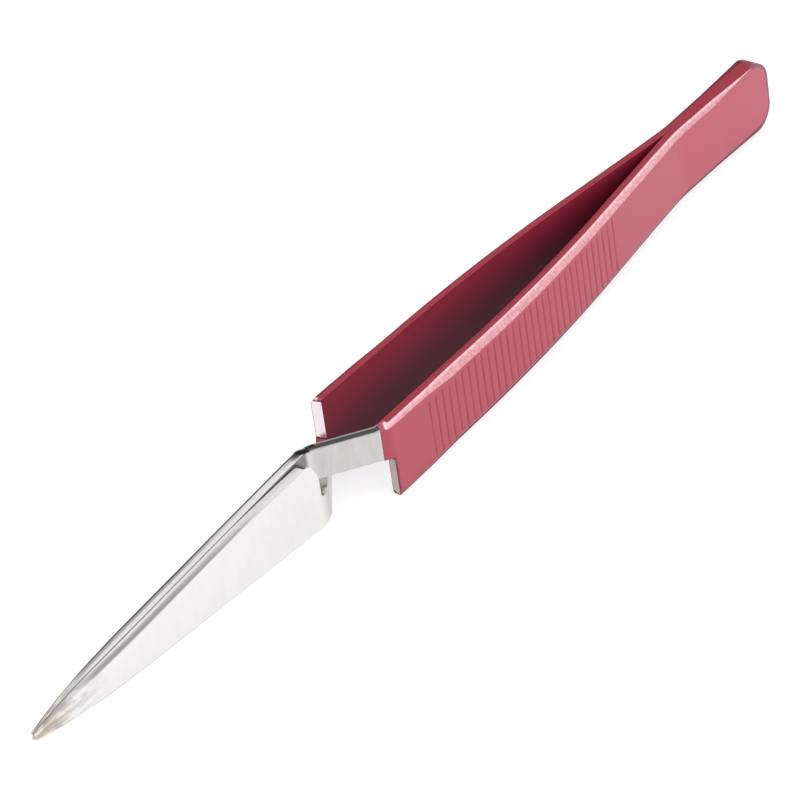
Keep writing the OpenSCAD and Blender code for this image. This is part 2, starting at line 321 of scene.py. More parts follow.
# Corners further than this from the gripping face belong to the outer side
OFF_FACE = 0.2
GRIND_R = (GRIND_L ** 2 + (STEEL_T - TIP_T) ** 2) / (2 * (STEEL_T - TIP_T))
CURVE_FROM = JAW_L - CORNER_L - CURVE_L
JAW_STEPS = [52.0, 48.0, 44.0, CURVE_FROM, GRIND_L, 19.0, 16.0, 14.0, NOSE_L,
             10.0, 8.0, 6.2, 4.6, 3.2, 2.0, 1.0, 0.4, 0.0]


def jaw_low(x):
    """Height of the jaw's lower edge, which curves in towards the sloped corner."""
    return CURVE_H * (max(x - CURVE_FROM, 0) / CURVE_L) ** CURVE_POWER - jaw_half(x)


def ground_off(x):
    """How much is ground off the outer side at x from the tip: an arc that starts at GRIND_L."""
    return GRIND_R - math.sqrt(GRIND_R ** 2 - max(GRIND_L - x, 0) ** 2)


def pull_jaw():
    before = JAW_L - CORNER_L
    for x in JAW_STEPS:
        here = TIP_X + before
        pick("FACE", lambda f: faces_front(f, here))
        pull(dx=x - before)
        stretch_height(jaw_half(x) / jaw_half(before))
        pick("VERT", lambda v: at(v.co.x, TIP_X + x) and v.co.y > -STEEL_T + OFF_FACE)
        move(dy=ground_off(before) - ground_off(x))
        before = x
    # The lower edge curves in, and the upper corner at the back is set half its length back
    for x in [JAW_L - CORNER_L] + JAW_STEPS[:3]:
        pick("VERT", lambda v: at(v.co.x, TIP_X + x) and at(v.co.z, -jaw_half(x)))
        move(dz=jaw_low(x) + jaw_half(x))
    for x, z in ((BACK_X, STRAP_EDGE), (BACK_X - CORNER_L, jaw_half(JAW_L - CORNER_L))):
        pick("VERT", lambda v: at(v.co.x, x) and at(v.co.z, z))
        move(dx=CORNER_L / 2)
    print("Jaw pulled out to x =", round(TIP_X + before, 2), "with half height", round(jaw_half(0), 3))


# %% [markdown]
# No real edge is sharp. The notch, the shoulder and the jaw's back corners get small radii first, seen
# from the side.

# %% Rounded corners of the outline
RELIEF_R = 0.9 * NOTCH_R
SHOULDER_CORNER, JAW_CORNER_R = 0.6, 1.0


def along_y(edge):
    a, b = (v.co for v in edge.verts)
    return abs(a.x - b.x) < NEAR and abs(a.z - b.z) < NEAR


def round_edges(what, test, offset, segments):
    print(what, "edges:", pick("EDGE", test))
    bpy.ops.mesh.bevel(offset=offset, segments=segments, clamp_overlap=True)


def round_outline():
    front_x, front_half = BACK_X - CORNER_L, jaw_half(JAW_L - CORNER_L)
    corners = [("Notch", END_X, STRAP_LOW, NOTCH_R), ("Relief", RELIEF_X, RELIEF_TOP, RELIEF_R),
               ("Relief", BACK_X, RELIEF_TOP, RELIEF_R),
               ("Jaw's back", BACK_X, CORNER_H - front_half, JAW_CORNER_R),
               ("Jaw's corner", front_x, jaw_low(JAW_L - CORNER_L), JAW_CORNER_R),
               ("Shoulder", END_X, -SHOULDER_HALF, SHOULDER_CORNER)]
    for name, x, z, radius in corners:
        round_edges(name, lambda e: along_y(e) and at(middle(e).x, x) and at(middle(e).z, z), radius, 5)


# %% [markdown]
# Then the long edges follow. Each long edge of a jaw is polished round by its own share of the faces
# beside it: most along the gripping face's upper edge and least along its lower one. Every edge that is
# still sharp gets a fine rounding last.

# %% Rounded long edges
SHARP_ANGLE = math.radians(35)
# On the gripping face or not, above or below, and the share in percent
LONG_EDGES = ((False, 1, 40), (False, -1, 36), (True, 1, 58), (True, -1, 20))
STRAP_ROUND, TAIL_ROUND, FINE_ROUND = 0.25, 0.35, 0.1


def sharp(edge):
    return len(edge.link_faces) == 2 and edge.calc_face_angle(0) > SHARP_ANGLE


def long_jaw_edge(edge, gripping, side):
    m = middle(edge)
    x = m.x - TIP_X
    if at(m.y, -STEEL_T) != gripping or m.z * side < 0:
        return False
    if x > JAW_L - 1.5 * CORNER_L or abs(edge.verts[0].co.x - edge.verts[1].co.x) < NEAR:
        return False
    return min(abs(m.z - jaw_half(x)), abs(m.z - jaw_low(x))) < 2 * NEAR and sharp(edge)


def strap_top_edge(edge):
    m = middle(edge)
    on_strap = BACK_X + CORNER_L / 2 < m.x < END_X - SHOULDER_SLOPE
    return on_strap and at(m.y, -STEEL_T) and at(m.z, STRAP_EDGE)


def tail_edge(edge):
    m = middle(edge)
    return m.x > TAIL_X - TAIL_CORNER and at(m.y, -STEEL_T) and sharp(edge)


def soften():
    for gripping, side, share in LONG_EDGES:
        print("Long jaw edges:", pick("EDGE", lambda e: long_jaw_edge(e, gripping, side)))
        bpy.ops.mesh.bevel(offset_type="PERCENT", offset_pct=share, segments=6)
    round_edges("Strap's top", strap_top_edge, STRAP_ROUND, 3)
    round_edges("Tail's outer", tail_edge, TAIL_ROUND, 2)
    round_edges("Sharp", sharp, FINE_ROUND, 2)


# %% [markdown]
# The steps are taken in the order in which the real blank would be cut and polished. Each one finds its
# corners and faces by the places that the steps before it left, so the order matters.

# %% Make the blank
near_strip = start_blank("near_strip")
bevel_handle()
pull_strap()
grow_jaw_back()
pull_jaw()
round_outline()
soften()

# %% [markdown]
# Thirty-two shallow grooves cross the grip for a sure hold. Each one is cut as five lines close together,
# and its inner lines are pushed into the steel along an arc. All grooves share a cross-section, so one pick
# by the distance from the nearest groove moves them all in one go.

# %% Grooves
GROOVES, PITCH, GROOVE_HALF, GROOVE_DEEP = 32, 1.5, 0.27, 0.12
GROOVE_TOP, GROOVE_BOTTOM, GROOVE_RAMP = 4.2, -4.9, 0.25
FIRST_GROOVE = x_of["shoulder"] + 7.8
LAST_GROOVE = FIRST_GROOVE + (GROOVES - 1) * PITCH
# The lines that end the grooves are cut on this stretch, in faces that look outwards by this share
GRIP_FROM, GRIP_TO, FACING_OUT = END_X + 2, 136.0, 0.8
# Only corners this close to the outer side are pushed in
OUTER_REACH = 0.6


def from_groove(x):
    """Distance from the middle of the nearest groove."""
    nearest = min(max(round((x - FIRST_GROOVE) / PITCH), 0), GROOVES - 1)
    return abs(x - FIRST_GROOVE - nearest * PITCH)


def on_line(corner, from_middle):
    """Whether a corner of the outer side lies in a groove, on the line this far from its middle."""
    return (corner.co.y < -STEEL_T + OUTER_REACH and GROOVE_BOTTOM + NEAR < corner.co.z < GROOVE_TOP - NEAR
            and abs(from_groove(corner.co.x) - from_middle) < NEAR / 2)


def cut_grooves():
    for z in (GROOVE_TOP, GROOVE_TOP - GROOVE_RAMP, GROOVE_BOTTOM):
        cut((0, 0, z), (0, 0, 1),
            lambda f: f.normal.y < -FACING_OUT and GRIP_FROM < middle(f).x < GRIP_TO)
    for groove in range(GROOVES):
        for step in (-1, -0.5, 0, 0.5, 1):
            cut((FIRST_GROOVE + groove * PITCH + step * GROOVE_HALF, 0, 0), (1, 0, 0))
    for step, depth in ((0, GROOVE_DEEP), (0.5, 0.75 * GROOVE_DEEP)):
        moved = pick("VERT", lambda v: on_line(v, step * GROOVE_HALF))
        move(dy=depth)
        print("Groove corners pushed in by", round(depth, 3), "mm:", moved)


cut_grooves()

# %% [markdown]
# The flat strip is now cut across at every bend line. Its flat coordinates are kept in an attribute,
# because scratches, grooves and paint edges follow the metal and not the room: the materials read them
# later. Then everything in front of a line is turned a little about the middle of the thickness, from
# the jaw back to the tail, so that each line is still where it was on the flat strip when its turn comes.
# Two more lines are cut where the coat will end.

# %% Bend the strip
PAINT_X = x_of["strap"] - 0.7
PARTED_X = x_of["splay"] - 1.9


def bend_lines():
    lines = []
    run = 0.0
    for s in PATH:
        lines += [(TAIL_X - run - s["l"] * (i + 0.5) / s["lines"], s["turn"] / s["lines"])
                  for i in range(s["lines"])]
        run += s["l"]
    return lines


def keep_flat_places(strip):
    bpy.ops.object.mode_set(mode="OBJECT")
    flat = strip.data.attributes.new("flat", "FLOAT_VECTOR", "POINT")
    places = [c for v in strip.data.vertices for c in v.co]
    flat.data.foreach_set("vector", places)
    bpy.ops.object.mode_set(mode="EDIT")


def turn_in_front(strip, x, degrees):
    flat = bmesh.from_edit_mesh(strip.data).verts.layers.float_vector["flat"]
    pick("VERT", lambda v: v[flat].x < x - 0.001)
    bpy.ops.transform.rotate(value=-math.radians(degrees), orient_axis="Z",
                             center_override=(x, -STEEL_T / 2, 0))


lines = bend_lines()
for x in [x for x, _ in lines] + [PAINT_X, PARTED_X]:
    cut((x, 0, 0), (1, 0, 0))
keep_flat_places(near_strip)
for x, degrees in reversed(lines):
    turn_in_front(near_strip, x, degrees)
bpy.ops.object.mode_set(mode="OBJECT")
sideways = [v.co.y for v in near_strip.data.vertices]
print("Bent at", len(lines), "lines, tip now at x =", round(min(v.co.x for v in near_strip.data.vertices), 3),
      "y from", round(min(sideways), 2), "to", round(max(sideways), 2))

# %% [markdown]
# The handle is dipped in a red coat, a skin of a twentieth of a millimetre. It runs from the tail to just
# past the shoulder bend, leaves the cut end of the shoulder bare, and doesn't reach between the strips
# where they lie on each other. Copying the coated faces and thickening the copy makes a real skin.

# %% The coat
def only(thing):
    bpy.ops.object.select_all(action="DESELECT")
    thing.select_set(True)
    bpy.context.view_layer.objects.active = thing


def coat_from(strip, name):
    only(strip)
    bpy.ops.object.mode_set(mode="EDIT")
    flat = bmesh.from_edit_mesh(strip.data).verts.layers.float_vector["flat"]

    def coated(face):
        place = sum((v[flat] for v in face.verts), Vector()) / len(face.verts)
        # After bending, the shoulder's cut end looks towards the tips and not outwards
        bare_end = at(place.x, END_X) and face.normal.y > -0.3 and face.normal.x < -0.6
        welded = place.x > PARTED_X and place.y > -NEAR / 2
        return place.x > PAINT_X and not bare_end and not welded
    print("Coated faces:", pick("FACE", coated))
    bpy.ops.mesh.duplicate()
    bpy.ops.mesh.separate(type="SELECTED")
    bpy.ops.object.mode_set(mode="OBJECT")
    coat = next(o for o in bpy.context.selected_objects if o is not strip)
    coat.name = name
    strip.select_set(False)
    bpy.context.view_layer.objects.active = coat
    skin = coat.modifiers.new("Skin", "SOLIDIFY")
    skin.thickness = COAT_T
    skin.offset = 1
    bpy.ops.object.modifier_apply(modifier=skin.name)
    return coat


near_coat = coat_from(near_strip, "near_coat")
print("Coat:", len(near_coat.data.vertices), "corners")

# %% [markdown]
# The other strip is the same part turned half a turn about the length of the tweezers, which is why one
# strap passes above and the other below. Copies are turned, everything is shrunk to metres and moved to
# the frame's place, and each transform is applied so that the place is in the mesh. Corners sharper than
# SMOOTH_ANGLE keep a crisp edge in the shading, and the others are shaded smooth.

# %% The far strip, and everything in its place
MILLI = 0.001
SMOOTH_ANGLE = math.radians(28)


def turned_copy(thing, name):
    only(thing)
    bpy.ops.object.duplicate()
    copy = bpy.context.object
    copy.name = name
    copy.rotation_euler = (math.pi, 0, 0)
    bpy.ops.object.transform_apply(location=True, rotation=True, scale=True)
    return copy


far_strip = turned_copy(near_strip, "far_strip")
far_coat = turned_copy(near_coat, "far_coat")
for piece in (near_strip, far_strip, near_coat, far_coat):
    only(piece)
    piece.scale = (MILLI, MILLI, MILLI)
    piece.location = (CAD_BOX[0][0], 0, HEIGHT / 2 * MILLI)
    bpy.ops.object.transform_apply(location=True, rotation=True, scale=True)
    bpy.ops.object.shade_smooth_by_angle(angle=SMOOTH_ANGLE)
    piece.modifiers.new("Flat faces stay flat", "WEIGHTED_NORMAL").keep_sharp = True
    bpy.ops.object.modifier_apply(modifier=piece.modifiers[0].name)
    print(piece.name, [round(v * 1000, 2) for v in piece.dimensions], len(piece.data.polygons), "faces")

# %% [markdown]
# The construction model's solids that the strips and their coats stand for, and its tail coat, are hidden.
# A strip is one spring, which really flexes over the stretch from FLEX_FROM to FLEX_TO. These places are in
# metres, as everything from here on.

# %% Hide the construction solids that the pieces stand for
FLEX_FROM, FLEX_TO, FLEX_Y, MID_Z = 0.0583, 0.0268, 0.0028, HEIGHT / 2 * MILLI
for side, strip, coat in ((-1, near_strip, near_coat), (1, far_strip, far_coat)):
    name = "near" if side < 0 else "far"
    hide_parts(name + "_tail_leaf", name + "_arm")
    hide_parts(name + "_handle_coat", "tail_coat")
    for piece in (strip, coat):
        name + "_side"
        side * FLEX_Y
        side * FLEX_Y
        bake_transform(piece)
print("Each strip flexes over", round((FLEX_FROM - FLEX_TO) / MILLI, 1), "mm")

# %% [markdown]
# The camera stands where the photograph was taken from: high over the near side, close to the tips' end,
# with a long lens. The lens and the place were found by matching the outline.

# %% Camera
CAMERA_AT, LENS = Vector((-0.4391, -0.3763, 0.4015)), 238.05
YAW, TILT, ROLL = 0.7143, -0.6016, -0.1524
AHEAD = Vector((math.cos(TILT) * math.cos(YAW), math.cos(TILT) * math.sin(YAW), math.sin(TILT)))
level = AHEAD.cross(Vector((0, 0, 1))).normalized()
upright = level.cross(AHEAD)
right = level * math.cos(ROLL) + upright * math.sin(ROLL)
up = right.cross(AHEAD)
camera_data = bpy.data.cameras.new("Camera")
camera_data.lens = LENS
camera_data.sensor_width = 36
camera_data.clip_start = 0.01
camera = bpy.data.objects.new("Camera", camera_data)
bpy.context.scene.collection.objects.link(camera)
camera.matrix_world = Matrix.Translation(CAMERA_AT) @ Matrix((right, up, -AHEAD)).transposed().to_4x4()
bpy.context.scene.camera = camera
print("Camera is", round(CAMERA_AT.length * 1000), "mm from the frame's origin")

# %% [markdown]
# Materials are written as sums. A Wire stands for one output of a node, and adding or multiplying wires
# places Math nodes.

# %% A wire for sums
class Wire:
    def __init__(self, desk, socket):
        self.desk, self.socket = desk, socket

    def __add__(self, other):
        return self.desk.math("ADD", self, other)

    def __mul__(self, other):
        return self.desk.math("MULTIPLY", self, other)

    def __sub__(self, other):
        return self.desk.math("SUBTRACT", self, other)

    def __rsub__(self, other):
        return self.desk.math("SUBTRACT", other, self)

    def __abs__(self):
        return self.desk.math("ABSOLUTE", self)

    __radd__, __rmul__ = __add__, __mul__


# %% [markdown]
# A Desk holds one node tree and makes every other node: first its settings, then what its sockets get. The
# masks below are mostly ramps, which go from 0 to 1 between two values, and bands, which go up and down
# again. A colour is then painted in layers, each over the ones before it by its mask.

# %% A desk for nodes
class Desk:
    def __init__(self, tree):
        self.tree = tree

    def feed(self, node, sockets):
        """Gives each socket of a node a link or a value."""
        for name, value in sockets.items():
            socket = node.inputs[name]
            if isinstance(value, Wire):
                self.tree.links.new(value.socket, socket)
            elif socket.type == "RGBA":
                socket.default_value = value + (1.0,)
            else:
                socket.default_value = value

    def node(self, kind, settings, sockets, out=0):
        made = self.tree.nodes.new(kind)
        for name, value in settings.items():
            setattr(made, name, value)
        self.feed(made, sockets)
        return Wire(self, made.outputs[out])

    def math(self, operation, first, second=0.0):
        return self.node("ShaderNodeMath", {"operation": operation}, {0: first, 1: second})

    def vector(self, operation, first, second=(0.0, 0.0, 0.0), out=0):
        return self.node("ShaderNodeVectorMath", {"operation": operation}, {0: first, 1: second}, out)

    def axes(self, vector):
        split = self.node("ShaderNodeSeparateXYZ", {}, {0: vector}).socket.node
        return [Wire(self, output) for output in split.outputs]

    def ramp(self, value, low, high):
        """0 up to low, 1 from high on, and a smooth step between them. Low may be the larger one."""
        return self.node("ShaderNodeMapRange", {"interpolation_type": "SMOOTHSTEP"},
                         {"Value": value, "From Min": low, "From Max": high})

    def band(self, value, start, full, full_to, end):
        """1 from full to full_to, and 0 before start and past end."""
        return self.ramp(value, start, full) * self.ramp(value, end, full_to)

    def noise(self, vector, scale, detail, seed=0.0, drawn=(1.0, 1.0, 1.0)):
        """Drawn is the pattern's fineness in each direction. A small number draws it out into streaks."""
        return self.node("ShaderNodeTexNoise", {"noise_dimensions": "4D"},
                         {"Vector": self.vector("MULTIPLY", vector, drawn), "W": seed, "Scale": scale,
                          "Detail": detail})

    def colour(self, share, first, second):
        return self.node("ShaderNodeMix", {"data_type": "RGBA"}, {0: share, 6: first, 7: second}, out=2)

    def painted(self, base, layers):
        for share, over in layers:
            base = self.colour(share, base, over)
        return base

    def bump(self, height, strength, distance):
        return self.node("ShaderNodeBump", {},
                         {"Strength": strength, "Distance": distance, "Height": height})


# %% [markdown]
# The two strips and their coats need more: the places as they were on the flat strip, in millimetres. Their
# desk reads them from the attribute that was kept before bending.

# %% A desk for a strip
class StripDesk(Desk):
    """x runs from the tips to the tail, depth in from the handle's outer side, and z across the strip."""

    def __init__(self, tree):
        super().__init__(tree)
        self.flat = self.node("ShaderNodeAttribute", {"attribute_name": "flat"}, {}, out=1)
        self.x, y, self.z = self.axes(self.flat)
        self.depth = y + STEEL_T


def new_material(name, kind=Desk):
    material = bpy.data.materials.new(name)
    material.use_nodes = True
    return material, kind(material.node_tree), material.node_tree.nodes["Principled BSDF"]


# %% [markdown]
# Spring steel shows how it was made and used. Such tweezers hold parts while they are soldered, so heat
# leaves brown and gold stains and some soot on the tips. The gripping faces are painted dark as painted
# shade where the jaws meet, and the cut edge on the strap's top is painted nearly black as painted shade.
# The end of the shoulder was cut through the coat; it gets painted shade on the near strip and painted
# light on the far one. Along the jaw, its long sides and a thin line that follows the taper get painted
# shade.

# %% Marks and painted shade on the steel
SOOT_L, STAIN_L = 15.0, 8.0


def tip_marks(desk, lines, seed):
    """How near the tip a place is, and the stains and the soot there."""
    near_tip = desk.ramp(desk.x, TIP_X + SOOT_L, TIP_X + 3.0)
    stain = desk.ramp(desk.x, TIP_X + STAIN_L, TIP_X + 1.5) * desk.ramp(lines, 0.36, 0.58)
    soot = near_tip * desk.ramp(desk.noise(desk.flat, 1.4, 5.0, seed + 7, (0.25, 1.0, 1.0)), 0.42, 0.62)
    return near_tip, stain, soot


def shaded_faces(desk):
    """The gripping face, the cut edge along the top of the strap, and the cut end of the shoulder: places
    that get painted shade, and painted light on the far strip's shoulder end.
    """
    # Painted shade: the gripping face is painted dark where the jaws close on each other
    gripping = desk.ramp(desk.depth, 0.12, 0.03) * desk.ramp(desk.x, BACK_X + 0.5, BACK_X - 0.5)
    on_edge = desk.band(desk.depth, 0.12, 0.3, STEEL_T - 0.4, STEEL_T - 0.15)
    # Painted shade: the top edge of the strap is painted nearly black
    shaded_strap_top = on_edge * desk.ramp(desk.x, BACK_X - 3.0, BACK_X - 1.0) * desk.ramp(desk.z, 4.0, 4.6)
    end_face = desk.ramp(abs(desk.x - END_X), 0.05, 0.02)
    return gripping, shaded_strap_top, end_face


def jaw_edge_shade(desk):
    """The long sides of the jaw, and the thin line inside its taper on the ground face, which get painted
    shade.
    """
    from_tip = desk.x - TIP_X
    ground = desk.math("MAXIMUM", GRIND_L - from_tip, 0.0)
    # 0 on the outer face, also where that face was ground off, and negative below it
    outer = desk.depth - STEEL_T + ground * ground * (0.5 / GRIND_R)
    # Painted shade along the long sides of the jaw, and along a thin line inside the taper
    side = desk.band(outer, -1.0, -0.5, -0.2, -0.05)
    side = side * desk.band(desk.x, TIP_X + 8.0, TIP_X + 12.0, BACK_X - 28.0, BACK_X - 8.0)
    line = desk.ramp(abs(desk.z) - taper_half(from_tip), -0.26, -0.1) * desk.ramp(outer, -0.4, -0.25)
    line = line * desk.band(from_tip, NOSE_L - 3.0, NOSE_L, JAW_L - CORNER_L - 1.0, JAW_L - CORNER_L)
    return side, line


print("Stains reach", STAIN_L, "mm from the tip, and soot", SOOT_L, "mm")

# %% [markdown]
# Otherwise polished steel is a mirror with soft flaws. Its colour comes from what it reflects, so the rest
# of the material says how clean it is: cloudy patches, and faint streaks across the strip and along it from
# polishing. The strap, where the strip was bent, is rougher and is painted darker as painted shade.

# %% Polished steel
STEEL_COLOUR, CLOUDED_COLOUR, STRAP_SHADE_COLOUR = (0.84, 0.83, 0.81), (0.70, 0.69, 0.67), (0.50, 0.48, 0.46)
STAIN_COLOUR, SOOT_COLOUR, GAP_SHADE_COLOUR = (0.60, 0.44, 0.27), (0.30, 0.27, 0.27), (0.24, 0.23, 0.22)
STRAP_TOP_SHADE_COLOUR, JAW_EDGE_SHADE_COLOUR = (0.06, 0.055, 0.05), (0.30, 0.29, 0.27)
# Painted shade and painted light on the shoulder's cut end: darker on the near strip, lighter on the far one
NEAR_END_SHADED, FAR_END_LIT = (0.46, 0.37, 0.38), (0.86, 0.78, 0.79)


def polished_steel(name, end_painted_light, seed):
    material, desk, shader = new_material(name, StripDesk)
    clouds = desk.noise(desk.flat, 0.25, 3.0, seed)
    streaks = desk.noise(desk.flat, 1.6, 4.0, seed, (1.0, 1.0, 0.12))
    lines = desk.noise(desk.flat, 2.2, 4.0, seed + 3, (0.12, 1.0, 1.0))
    # The strap is rougher, and it is painted darker as painted shade
    on_strap = desk.ramp(desk.x, BACK_X - 0.5, BACK_X + 1.5)
    near_tip, stain, soot = tip_marks(desk, lines, seed)
    gripping, shaded_strap_top, end_face = shaded_faces(desk)
    shaded_jaw_side, shaded_taper_line = jaw_edge_shade(desk)
    layers = [(0.35 * clouds + 0.35 * streaks, CLOUDED_COLOUR),
              (on_strap * (0.55 + 0.5 * streaks), STRAP_SHADE_COLOUR),
              (stain * 0.8, STAIN_COLOUR), (soot * 0.6, SOOT_COLOUR), (gripping, GAP_SHADE_COLOUR),
              (shaded_taper_line * 0.6, JAW_EDGE_SHADE_COLOUR), (shaded_strap_top * 0.9, STRAP_TOP_SHADE_COLOUR),
              (shaded_jaw_side * (0.5 + 0.6 * lines), JAW_EDGE_SHADE_COLOUR), (end_face, end_painted_light)]
    desk.feed(shader, {
        "Base Color": desk.painted(STEEL_COLOUR, layers), "Metallic": 1.0,
        "Roughness": 0.14 + 0.1 * streaks + 0.06 * on_strap + 0.2 * near_tip * lines,
        "Normal": desk.bump(0.6 * streaks + 0.4 * lines, 0.12, 0.04 * MILLI)})
    return material


near_steel = polished_steel("near_polished_steel", NEAR_END_SHADED, 1.0)
far_steel = polished_steel("far_polished_steel", FAR_END_LIT, 2.0)
print("Steel nodes:", len(near_steel.node_tree.nodes))

# %% [markdown]
# The long bevels on the upper side are painted pink as a painted highlight, brightest along their edge,
# with a pale painted glint at the shoulder where they end. The bottoms of the grooves get painted shade,
# and the coat stops in an uneven, darker line at the shoulder and on the strap. All of these places are
# found from the flat strip.

# %% Painted highlights and shade on the coat, and where it ends
def round_tail(desk):
    """How far a place reaches into the tail's rounded end, and whether it is on it."""
    # The corner's centre. The thickness is kept out by a limit that it never reaches
    inside = (TAIL_X - TAIL_CORNER, LENGTH, TAIL_HALF - TAIL_CORNER)
    past = desk.vector("SUBTRACT", desk.vector("ABSOLUTE", desk.flat), inside)
    reach = desk.vector("LENGTH", desk.vector("MAXIMUM", past, (0.0, 0.0, 0.0)), out=1)
    return reach, desk.ramp(desk.x, TAIL_X - TAIL_CORNER - 0.2, TAIL_X - TAIL_CORNER)


def lit_bevel(desk, below_edge, above, seed):
    """The bevel on the side that lies above, from just under the edge down to an uneven limit, where a
    painted highlight goes.
    """
    ragged = below_edge + 0.5 * desk.noise(desk.flat, 1.8, 3.0, seed + 6)
    bevel = desk.ramp(below_edge, 0.03, 0.08) * desk.band(desk.depth, 0.02, 0.06, 0.85, 0.95)
    bevel = bevel * desk.ramp(ragged, 1.68, 1.5) * desk.ramp(above, 0.0, 0.1)
    return bevel * desk.ramp(desk.x, END_X - 0.6, END_X - 0.4)


def groove_bottoms(desk, seed):
    """1 along the bottom of each groove, where painted shade goes. Their ends are uneven."""
    row = desk.math("COSINE", (desk.x - FIRST_GROOVE) * (2 * math.pi / PITCH))
    bottoms = desk.ramp(row, 0.72, 0.98) * desk.ramp(desk.depth, 0.35, 0.25)
    bottoms = bottoms * desk.band(desk.x, FIRST_GROOVE - 0.6, FIRST_GROOVE - 0.5,
                                  LAST_GROOVE + 0.5, LAST_GROOVE + 0.6)
    uneven = desk.z + 1.2 * desk.noise(desk.flat, 0.9, 1.0, seed + 2, (1.0, 0.0, 0.0))
    return bottoms * desk.band(uneven, GROOVE_BOTTOM + 0.5, GROOVE_BOTTOM + 1.1,
                               GROOVE_TOP + 0.2, GROOVE_TOP + 0.7)


def coat_ends(desk, seed):
    """The last bit of coat round the shoulder's cut end, and across the strap."""
    ragged = desk.x + 0.35 * desk.noise(desk.flat, 1.8, 3.0, seed + 9, (0.2, 1.0, 1.0))
    at_end = desk.ramp(ragged, END_X + 0.42, END_X + 0.22) * desk.ramp(desk.z, 0.7, 0.3)
    return at_end, desk.ramp(ragged, PAINT_X + 0.32, PAINT_X + 0.12)


print("The coat ends", round(END_X - PAINT_X, 2), "mm past the handle's end")

# %% [markdown]
# The red coat is a thin satin film with a fine orange peel. It is a little paler towards the tail. Its narrow
# sides and the round end of the tail get painted shade, and so do the edge that lies below, the bevel round
# the tail and the inner side, darkest low down and towards the tail. The far side lies turned over,
# so its upper bevel is the near one's lower bevel: up says which way a side lies.

# %% Satin red coat
RED, PALE_RED, GROOVE_SHADE_AND_MOTTLE_RED = (0.48, 0.093, 0.132), (0.54, 0.130, 0.175), (0.30, 0.045, 0.07)
LIT_BEVEL_PINK, HIGHLIGHT_PINK, SHADED_TOP_RED = (0.74, 0.40, 0.43), (0.92, 0.62, 0.66), (0.29, 0.030, 0.050)
SHADED_INNER_RED, DEEP_SHADE_RED, SHADE_AND_PAINT_EDGE_RED = (0.22, 0.014, 0.034), (0.11, 0.005, 0.018), (0.07, 0.015, 0.03)
SHADED_TAIL_RIM_RED, GLINT_COLOUR = (0.26, 0.10, 0.14), (0.94, 0.78, 0.80)


def satin_coat(name, seed, up):
    material, desk, shader = new_material(name, StripDesk)
    above = desk.z * up
    below_edge = handle_half(desk.x) - abs(desk.z)
    clouds = desk.noise(desk.flat, 0.12, 3.0, seed)
    peel = desk.noise(desk.flat, 3.5, 2.0, seed)
    grain = desk.noise(desk.flat, 1.8, 3.0, seed + 5, (1.0, 1.0, 0.15))
    uneven_sheen = desk.ramp(desk.noise(desk.flat, 2.6, 4.0, seed + 4), 0.32, 0.66)
    reach, on_corner = round_tail(desk)
    # Painted highlight: the upper bevel is painted light pink in uneven patches, brightest along its edge
    bevel = lit_bevel(desk, below_edge, above, seed) * (1 - on_corner)
    # Painted highlight: a pale glint where the bevel ends at the shoulder
    shoulder_glint = bevel * desk.ramp(desk.x + 0.6 * (desk.depth - STEEL_T), END_X - 0.9, END_X - 1.1)
    # Painted shade along the bottoms of the grooves
    groove_shade = groove_bottoms(desk, seed)
    at_end, at_strap = coat_ends(desk, seed)
    round_side = on_corner * desk.ramp(reach, TAIL_CORNER - 0.06, TAIL_CORNER - 0.02)
    # Painted shade on the narrow sides and on the round end of the tail
    narrow = desk.ramp(below_edge, 0.05, 0.01) + round_side
    # Painted shade on the inner side, darkest low down and towards the tail
    inner = desk.ramp(desk.depth, STEEL_T - 0.12, STEEL_T - 0.04) * desk.ramp(below_edge, 0.05, 0.2)
    shaded = desk.colour(desk.ramp(above + 0.04 * (120.0 - desk.x), 5.5, -1.5), SHADED_INNER_RED, DEEP_SHADE_RED)
    # Painted shade along the edge that lies below; the same dark red also marks the real paint edges
    shaded_low_edge = desk.ramp(below_edge, 0.9, 0.1) * desk.ramp(above, 0.0, -0.1)
    # Painted shade on the bevel round the tail's end
    shaded_tail_rim = desk.ramp(reach, TAIL_CORNER - 0.55, TAIL_CORNER - 0.4) * desk.ramp(desk.depth, 0.6, 0.4)
    shaded_tail_rim = shaded_tail_rim * desk.ramp(desk.x, TAIL_X - TAIL_CORNER - 0.5, TAIL_X - TAIL_CORNER)
    # Painted dark reflection along the top rim, only on the side that lies turned over
    dark_reflection_rim = narrow * desk.ramp(desk.depth, 0.85, 0.69) * (0.5 - 0.5 * up)
    layers = [(0.10 * clouds + 0.08 * grain, GROOVE_SHADE_AND_MOTTLE_RED),
              (groove_shade * (0.4 + 0.6 * desk.ramp(grain, 0.3, 0.7)), GROOVE_SHADE_AND_MOTTLE_RED), (narrow, SHADED_TOP_RED),
              (bevel * (0.5 + 0.5 * uneven_sheen), LIT_BEVEL_PINK),
              (bevel * desk.ramp(below_edge, 0.5, 0.2) * (0.3 + 0.6 * uneven_sheen), HIGHLIGHT_PINK),
              (inner, shaded), (shaded_low_edge * 0.85, SHADE_AND_PAINT_EDGE_RED), (shoulder_glint * 0.8, GLINT_COLOUR),
              (shaded_tail_rim * 0.9, SHADED_TAIL_RIM_RED), (dark_reflection_rim * 0.6, SHADE_AND_PAINT_EDGE_RED), (at_end * 0.8, SHADE_AND_PAINT_EDGE_RED),
              (at_strap * 0.6, SHADE_AND_PAINT_EDGE_RED)]
    paler = desk.colour(desk.ramp(desk.x, 90.0, 160.0), RED, PALE_RED)
    desk.feed(shader, {
        "Base Color": desk.painted(paler, layers), "Specular IOR Level": 0.25,
        "Roughness": 0.34 + 0.12 * peel + 0.1 * groove_shade + 0.1 * inner + 0.4 * shaded_low_edge,
        "Normal": desk.bump(peel, 0.15, 0.03 * MILLI)})
    return material


